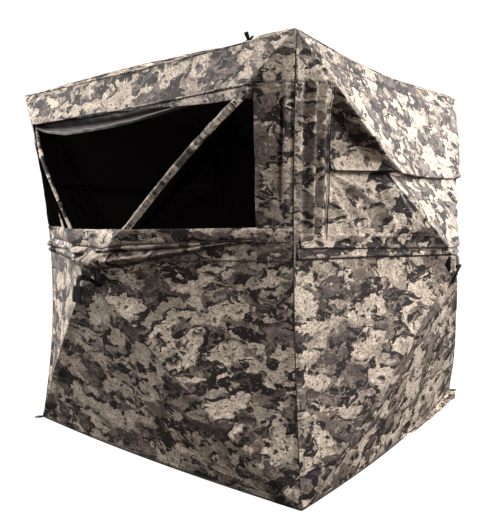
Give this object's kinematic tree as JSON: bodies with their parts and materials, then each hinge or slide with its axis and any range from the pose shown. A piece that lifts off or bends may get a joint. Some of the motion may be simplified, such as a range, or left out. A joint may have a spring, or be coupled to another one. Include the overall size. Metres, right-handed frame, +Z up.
{
  "type": "pop up ground blind",
  "caption": "Square pop-up hunting blind: camouflage fabric walls and roof pushed out by hubs with spring poles, open front window, corner stake tabs.",
  "frame": {"origin": "centre of the square footprint, on the ground", "axes": "+Z up, the open front window faces -Y, +X to the right seen from the front"},
  "size_m": [2.009, 2.009, 1.759],
  "materials": {
    "camo_fabric": "woven",
    "black_lining": "coated",
    "black_webbing": "woven",
    "fibreglass": "satin",
    "hub_polymer": "matte",
    "dark_metal": "satin"
  },
  "bodies": {
    "shell": {"corner_patches": "camo_fabric", "pole_pockets": "black_lining", "edge_bindings": "black_webbing", "ground_skirts": "camo_fabric", "stake_tabs": "black_webbing"},
    "front_hub": {"front_hub": "hub_polymer"},
    "front_pull_strap": {"front_pull_strap": "black_webbing"},
    "front_upper_left_pole": {"front_upper_left_pole": "fibreglass"},
    "front_upper_right_pole": {"front_upper_right_pole": "fibreglass"},
    "front_lower_left_pole": {"front_lower_left_pole": "fibreglass"},
    "front_lower_right_pole": {"front_lower_right_pole": "fibreglass"},
    "front_top_panel": {"front_top_panel": "camo_fabric", "front_window_curtain": "black_lining"},
    "front_bottom_panel": {"front_bottom_panel": "camo_fabric"},
    "front_left_panel": {"front_left_panel": "camo_fabric", "front_sill_left": "camo_fabric"},
    "front_right_panel": {"front_right_panel": "camo_fabric", "front_sill_right": "camo_fabric"},
    "right_hub": {"right_hub": "hub_polymer"},
    "right_pull_strap": {"right_pull_strap": "black_webbing"},
    "right_upper_left_pole": {"right_upper_left_pole": "fibreglass"},
    "right_upper_right_pole": {"right_upper_right_pole": "fibreglass"},
    "right_lower_left_pole": {"right_lower_left_pole": "fibreglass"},
    "right_lower_right_pole": {"right_lower_right_pole": "fibreglass"},
    "right_top_panel": {"right_top_panel": "camo_fabric"},
    "right_bottom_panel": {"right_bottom_panel": "camo_fabric"},
    "right_left_panel": {"right_left_panel": "camo_fabric"},
    "right_right_panel": {"right_right_panel": "camo_fabric"},
    "rear_hub": {"rear_hub": "hub_polymer"},
    "rear_pull_strap": {"rear_pull_strap": "black_webbing"},
    "rear_upper_left_pole": {"rear_upper_left_pole": "fibreglass"},
    "rear_upper_right_pole": {"rear_upper_right_pole": "fibreglass"},
    "rear_lower_left_pole": {"rear_lower_left_pole": "fibreglass"},
    "rear_lower_right_pole": {"rear_lower_right_pole": "fibreglass"},
    "rear_top_panel": {"rear_top_panel": "camo_fabric"},
    "rear_bottom_panel": {"rear_bottom_panel": "camo_fabric"},
    "rear_left_panel": {"rear_left_panel": "camo_fabric"},
    "rear_right_panel": {"rear_right_panel": "camo_fabric"},
    "rear_door": {"rear_door": "camo_fabric"},
    "door_zipper_slider": {"door_zipper_slider": "dark_metal"},
    "left_hub": {"left_hub": "hub_polymer"},
    "left_pull_strap": {"left_pull_strap": "black_webbing"},
    "left_upper_left_pole": {"left_upper_left_pole": "fibreglass"},
    "left_upper_right_pole": {"left_upper_right_pole": "fibreglass"},
    "left_lower_left_pole": {"left_lower_left_pole": "fibreglass"},
    "left_lower_right_pole": {"left_lower_right_pole": "fibreglass"},
    "left_top_panel": {"left_top_panel": "camo_fabric"},
    "left_bottom_panel": {"left_bottom_panel": "camo_fabric"},
    "left_left_panel": {"left_left_panel": "camo_fabric"},
    "left_right_panel": {"left_right_panel": "camo_fabric"},
    "roof_hub": {"roof_hub": "hub_polymer"},
    "roof_pull_strap": {"roof_pull_strap": "black_webbing"},
    "roof_rear_left_pole": {"roof_rear_left_pole": "fibreglass"},
    "roof_rear_right_pole": {"roof_rear_right_pole": "fibreglass"},
    "roof_front_left_pole": {"roof_front_left_pole": "fibreglass"},
    "roof_front_right_pole": {"roof_front_right_pole": "fibreglass"},
    "roof_rear_panel": {"roof_rear_panel": "camo_fabric"},
    "roof_front_panel": {"roof_front_panel": "camo_fabric"},
    "roof_left_panel": {"roof_left_panel": "camo_fabric"},
    "roof_right_panel": {"roof_right_panel": "camo_fabric"}
  },
  "joints": [
    {"name": "front_pop", "type": "slide", "parent": "shell", "child": "front_hub", "axis": [0, 1, 0], "range_m": [0, 0.485]},
    {"name": "front_strap_swing", "type": "hinge", "parent": "front_hub", "child": "front_pull_strap", "pos_m": [0, -0.9615, 0.72], "axis": [-1, 0, 0], "range_deg": [0, 125]},
    {"name": "front_upper_left_pole_pivot", "type": "hinge", "parent": "front_hub", "child": "front_upper_left_pole", "pos_m": [-0.02231, -0.9325, 0.75294], "axis": [0.7169, 0, 0.6972], "range_deg": [0, 30.33]},
    {"name": "front_upper_right_pole_pivot", "type": "hinge", "parent": "front_hub", "child": "front_upper_right_pole", "pos_m": [0.02231, -0.9325, 0.75294], "axis": [0.7169, 0, -0.6972], "range_deg": [0, 30.33]},
    {"name": "front_lower_left_pole_pivot", "type": "hinge", "parent": "front_hub", "child": "front_lower_left_pole", "pos_m": [-0.02231, -0.9325, 0.70706], "axis": [-0.7169, 0, 0.6972], "range_deg": [0, 30.33]},
    {"name": "front_lower_right_pole_pivot", "type": "hinge", "parent": "front_hub", "child": "front_lower_right_pole", "pos_m": [0.02231, -0.9325, 0.70706], "axis": [-0.7169, 0, -0.6972], "range_deg": [0, 30.33]},
    {"name": "front_top_panel_fold", "type": "hinge", "parent": "shell", "child": "front_top_panel", "pos_m": [0, -0.71, 1.46], "axis": [1, 0, 0], "range_deg": [0, 36.8]},
    {"name": "front_bottom_panel_fold", "type": "hinge", "parent": "shell", "child": "front_bottom_panel", "pos_m": [0, -0.71, 0], "axis": [-1, 0, 0], "range_deg": [0, 36.8]},
    {"name": "front_left_panel_fold", "type": "hinge", "parent": "shell", "child": "front_left_panel", "pos_m": [-0.71, -0.71, 0.73], "axis": [0, 0, 1], "range_deg": [0, 37.77]},
    {"name": "front_right_panel_fold", "type": "hinge", "parent": "shell", "child": "front_right_panel", "pos_m": [0.71, -0.71, 0.73], "axis": [0, 0, -1], "range_deg": [0, 37.77]},
    {"name": "right_pop", "type": "slide", "parent": "shell", "child": "right_hub", "axis": [-1, 0, 0], "range_m": [0, 0.485]},
    {"name": "right_strap_swing", "type": "hinge", "parent": "right_hub", "child": "right_pull_strap", "pos_m": [0.9615, 0, 0.72], "axis": [0, -1, 0], "range_deg": [0, 125]},
    {"name": "right_upper_left_pole_pivot", "type": "hinge", "parent": "right_hub", "child": "right_upper_left_pole", "pos_m": [0.9325, -0.02231, 0.75294], "axis": [0, 0.7169, 0.6972], "range_deg": [0, 30.33]},
    {"name": "right_upper_right_pole_pivot", "type": "hinge", "parent": "right_hub", "child": "right_upper_right_pole", "pos_m": [0.9325, 0.02231, 0.75294], "axis": [0, 0.7169, -0.6972], "range_deg": [0, 30.33]},
    {"name": "right_lower_left_pole_pivot", "type": "hinge", "parent": "right_hub", "child": "right_lower_left_pole", "pos_m": [0.9325, -0.02231, 0.70706], "axis": [0, -0.7169, 0.6972], "range_deg": [0, 30.33]},
    {"name": "right_lower_right_pole_pivot", "type": "hinge", "parent": "right_hub", "child": "right_lower_right_pole", "pos_m": [0.9325, 0.02231, 0.70706], "axis": [0, -0.7169, -0.6972], "range_deg": [0, 30.33]},
    {"name": "right_top_panel_fold", "type": "hinge", "parent": "shell", "child": "right_top_panel", "pos_m": [0.71, 0, 1.46], "axis": [0, 1, 0], "range_deg": [0, 36.8]},
    {"name": "right_bottom_panel_fold", "type": "hinge", "parent": "shell", "child": "right_bottom_panel", "pos_m": [0.71, 0, 0], "axis": [0, -1, 0], "range_deg": [0, 36.8]},
    {"name": "right_left_panel_fold", "type": "hinge", "parent": "shell", "child": "right_left_panel", "pos_m": [0.71, -0.71, 0.73], "axis": [0, 0, 1], "range_deg": [0, 37.77]},
    {"name": "right_right_panel_fold", "type": "hinge", "parent": "shell", "child": "right_right_panel", "pos_m": [0.71, 0.71, 0.73], "axis": [0, 0, -1], "range_deg": [0, 37.77]},
    {"name": "rear_pop", "type": "slide", "parent": "shell", "child": "rear_hub", "axis": [0, -1, 0], "range_m": [0, 0.485]},
    {"name": "rear_strap_swing", "type": "hinge", "parent": "rear_hub", "child": "rear_pull_strap", "pos_m": [0, 0.9615, 0.72], "axis": [1, 0, 0], "range_deg": [0, 125]},
    {"name": "rear_upper_left_pole_pivot", "type": "hinge", "parent": "rear_hub", "child": "rear_upper_left_pole", "pos_m": [0.02231, 0.9325, 0.75294], "axis": [-0.7169, 0, 0.6972], "range_deg": [0, 30.33]},
    {"name": "rear_upper_right_pole_pivot", "type": "hinge", "parent": "rear_hub", "child": "rear_upper_right_pole", "pos_m": [-0.02231, 0.9325, 0.75294], "axis": [-0.7169, 0, -0.6972], "range_deg": [0, 30.33]},
    {"name": "rear_lower_left_pole_pivot", "type": "hinge", "parent": "rear_hub", "child": "rear_lower_left_pole", "pos_m": [0.02231, 0.9325, 0.70706], "axis": [0.7169, 0, 0.6972], "range_deg": [0, 30.33]},
    {"name": "rear_lower_right_pole_pivot", "type": "hinge", "parent": "rear_hub", "child": "rear_lower_right_pole", "pos_m": [-0.02231, 0.9325, 0.70706], "axis": [0.7169, 0, -0.6972], "range_deg": [0, 30.33]},
    {"name": "rear_top_panel_fold", "type": "hinge", "parent": "shell", "child": "rear_top_panel", "pos_m": [0, 0.71, 1.46], "axis": [-1, 0, 0], "range_deg": [0, 36.8]},
    {"name": "rear_bottom_panel_fold", "type": "hinge", "parent": "shell", "child": "rear_bottom_panel", "pos_m": [0, 0.71, 0], "axis": [1, 0, 0], "range_deg": [0, 36.8]},
    {"name": "rear_left_panel_fold", "type": "hinge", "parent": "shell", "child": "rear_left_panel", "pos_m": [0.71, 0.71, 0.73], "axis": [0, 0, 1], "range_deg": [0, 37.77]},
    {"name": "rear_right_panel_fold", "type": "hinge", "parent": "shell", "child": "rear_right_panel", "pos_m": [-0.71, 0.71, 0.73], "axis": [0, 0, -1], "range_deg": [0, 37.77]},
    {"name": "rear_door_swing", "type": "hinge", "parent": "rear_right_panel", "child": "rear_door", "pos_m": [-0.56, 0.76123, 0.73], "axis": [0, 0, 1], "range_deg": [0, 130]},
    {"name": "door_zipper_slide", "type": "slide", "parent": "rear_right_panel", "child": "door_zipper_slider", "axis": [0, 0, -1], "range_m": [0, 0.26]},
    {"name": "left_pop", "type": "slide", "parent": "shell", "child": "left_hub", "axis": [1, 0, 0], "range_m": [0, 0.485]},
    {"name": "left_strap_swing", "type": "hinge", "parent": "left_hub", "child": "left_pull_strap", "pos_m": [-0.9615, 0, 0.72], "axis": [0, 1, 0], "range_deg": [0, 125]},
    {"name": "left_upper_left_pole_pivot", "type": "hinge", "parent": "left_hub", "child": "left_upper_left_pole", "pos_m": [-0.9325, 0.02231, 0.75294], "axis": [0, -0.7169, 0.6972], "range_deg": [0, 30.33]},
    {"name": "left_upper_right_pole_pivot", "type": "hinge", "parent": "left_hub", "child": "left_upper_right_pole", "pos_m": [-0.9325, -0.02231, 0.75294], "axis": [0, -0.7169, -0.6972], "range_deg": [0, 30.33]},
    {"name": "left_lower_left_pole_pivot", "type": "hinge", "parent": "left_hub", "child": "left_lower_left_pole", "pos_m": [-0.9325, 0.02231, 0.70706], "axis": [0, 0.7169, 0.6972], "range_deg": [0, 30.33]},
    {"name": "left_lower_right_pole_pivot", "type": "hinge", "parent": "left_hub", "child": "left_lower_right_pole", "pos_m": [-0.9325, -0.02231, 0.70706], "axis": [0, 0.7169, -0.6972], "range_deg": [0, 30.33]},
    {"name": "left_top_panel_fold", "type": "hinge", "parent": "shell", "child": "left_top_panel", "pos_m": [-0.71, 0, 1.46], "axis": [0, -1, 0], "range_deg": [0, 36.8]},
    {"name": "left_bottom_panel_fold", "type": "hinge", "parent": "shell", "child": "left_bottom_panel", "pos_m": [-0.71, 0, 0], "axis": [0, 1, 0], "range_deg": [0, 36.8]},
    {"name": "left_left_panel_fold", "type": "hinge", "parent": "shell", "child": "left_left_panel", "pos_m": [-0.71, 0.71, 0.73], "axis": [0, 0, 1], "range_deg": [0, 37.77]},
    {"name": "left_right_panel_fold", "type": "hinge", "parent": "shell", "child": "left_right_panel", "pos_m": [-0.71, -0.71, 0.73], "axis": [0, 0, -1], "range_deg": [0, 37.77]},
    {"name": "roof_pop", "type": "slide", "parent": "shell", "child": "roof_hub", "axis": [0, 0, -1], "range_m": [0, 0.49]},
    {"name": "roof_strap_swing", "type": "hinge", "parent": "roof_hub", "child": "roof_pull_strap", "pos_m": [0, 0, 1.714], "axis": [-1, 0, 0], "range_deg": [-60, 60]},
    {"name": "roof_rear_left_pole_pivot", "type": "hinge", "parent": "roof_hub", "child": "roof_rear_left_pole", "pos_m": [-0.02263, 0.02263, 1.685], "axis": [0.7071, 0.7071, 0], "range_deg": [0, 31.09]},
    {"name": "roof_rear_right_pole_pivot", "type": "hinge", "parent": "roof_hub", "child": "roof_rear_right_pole", "pos_m": [0.02263, 0.02263, 1.685], "axis": [0.7071, -0.7071, 0], "range_deg": [0, 31.09]},
    {"name": "roof_front_left_pole_pivot", "type": "hinge", "parent": "roof_hub", "child": "roof_front_left_pole", "pos_m": [-0.02263, -0.02263, 1.685], "axis": [-0.7071, 0.7071, 0], "range_deg": [0, 31.09]},
    {"name": "roof_front_right_pole_pivot", "type": "hinge", "parent": "roof_hub", "child": "roof_front_right_pole", "pos_m": [0.02263, -0.02263, 1.685], "axis": [-0.7071, -0.7071, 0], "range_deg": [0, 31.09]},
    {"name": "roof_rear_panel_fold", "type": "hinge", "parent": "shell", "child": "roof_rear_panel", "pos_m": [0, 0.71, 1.46], "axis": [1, 0, 0], "range_deg": [0, 38.13]},
    {"name": "roof_front_panel_fold", "type": "hinge", "parent": "shell", "child": "roof_front_panel", "pos_m": [0, -0.71, 1.46], "axis": [-1, 0, 0], "range_deg": [0, 38.13]},
    {"name": "roof_left_panel_fold", "type": "hinge", "parent": "shell", "child": "roof_left_panel", "pos_m": [-0.71, 0, 1.46], "axis": [0, 1, 0], "range_deg": [0, 38.13]},
    {"name": "roof_right_panel_fold", "type": "hinge", "parent": "shell", "child": "roof_right_panel", "pos_m": [0.71, 0, 1.46], "axis": [0, -1, 0], "range_deg": [0, 38.13]}
  ],
  "couplings": [
    {"joint": "front_upper_left_pole_pivot", "follows": "front_pop", "rad_per_m": 1.0896},
    {"joint": "front_upper_right_pole_pivot", "follows": "front_pop", "rad_per_m": 1.0896},
    {"joint": "front_lower_left_pole_pivot", "follows": "front_pop", "rad_per_m": 1.0896},
    {"joint": "front_lower_right_pole_pivot", "follows": "front_pop", "rad_per_m": 1.0896},
    {"joint": "front_top_panel_fold", "follows": "front_pop", "rad_per_m": 1.3226},
    {"joint": "front_bottom_panel_fold", "follows": "front_pop", "rad_per_m": 1.3226},
    {"joint": "front_left_panel_fold", "follows": "front_pop", "rad_per_m": 1.3572},
    {"joint": "front_right_panel_fold", "follows": "front_pop", "rad_per_m": 1.3572},
    {"joint": "right_upper_left_pole_pivot", "follows": "right_pop", "rad_per_m": 1.0896},
    {"joint": "right_upper_right_pole_pivot", "follows": "right_pop", "rad_per_m": 1.0896},
    {"joint": "right_lower_left_pole_pivot", "follows": "right_pop", "rad_per_m": 1.0896},
    {"joint": "right_lower_right_pole_pivot", "follows": "right_pop", "rad_per_m": 1.0896},
    {"joint": "right_top_panel_fold", "follows": "right_pop", "rad_per_m": 1.3226},
    {"joint": "right_bottom_panel_fold", "follows": "right_pop", "rad_per_m": 1.3226},
    {"joint": "right_left_panel_fold", "follows": "right_pop", "rad_per_m": 1.3572},
    {"joint": "right_right_panel_fold", "follows": "right_pop", "rad_per_m": 1.3572},
    {"joint": "rear_upper_left_pole_pivot", "follows": "rear_pop", "rad_per_m": 1.0896},
    {"joint": "rear_upper_right_pole_pivot", "follows": "rear_pop", "rad_per_m": 1.0896},
    {"joint": "rear_lower_left_pole_pivot", "follows": "rear_pop", "rad_per_m": 1.0896},
    {"joint": "rear_lower_right_pole_pivot", "follows": "rear_pop", "rad_per_m": 1.0896},
    {"joint": "rear_top_panel_fold", "follows": "rear_pop", "rad_per_m": 1.3226},
    {"joint": "rear_bottom_panel_fold", "follows": "rear_pop", "rad_per_m": 1.3226},
    {"joint": "rear_left_panel_fold", "follows": "rear_pop", "rad_per_m": 1.3572},
    {"joint": "rear_right_panel_fold", "follows": "rear_pop", "rad_per_m": 1.3572},
    {"joint": "left_upper_left_pole_pivot", "follows": "left_pop", "rad_per_m": 1.0896},
    {"joint": "left_upper_right_pole_pivot", "follows": "left_pop", "rad_per_m": 1.0896},
    {"joint": "left_lower_left_pole_pivot", "follows": "left_pop", "rad_per_m": 1.0896},
    {"joint": "left_lower_right_pole_pivot", "follows": "left_pop", "rad_per_m": 1.0896},
    {"joint": "left_top_panel_fold", "follows": "left_pop", "rad_per_m": 1.3226},
    {"joint": "left_bottom_panel_fold", "follows": "left_pop", "rad_per_m": 1.3226},
    {"joint": "left_left_panel_fold", "follows": "left_pop", "rad_per_m": 1.3572},
    {"joint": "left_right_panel_fold", "follows": "left_pop", "rad_per_m": 1.3572},
    {"joint": "roof_rear_left_pole_pivot", "follows": "roof_pop", "rad_per_m": 1.1058},
    {"joint": "roof_rear_right_pole_pivot", "follows": "roof_pop", "rad_per_m": 1.1058},
    {"joint": "roof_front_left_pole_pivot", "follows": "roof_pop", "rad_per_m": 1.1058},
    {"joint": "roof_front_right_pole_pivot", "follows": "roof_pop", "rad_per_m": 1.1058},
    {"joint": "roof_rear_panel_fold", "follows": "roof_pop", "rad_per_m": 1.3562},
    {"joint": "roof_front_panel_fold", "follows": "roof_pop", "rad_per_m": 1.3562},
    {"joint": "roof_left_panel_fold", "follows": "roof_pop", "rad_per_m": 1.3562},
    {"joint": "roof_right_panel_fold", "follows": "roof_pop", "rad_per_m": 1.3562}
  ]
}
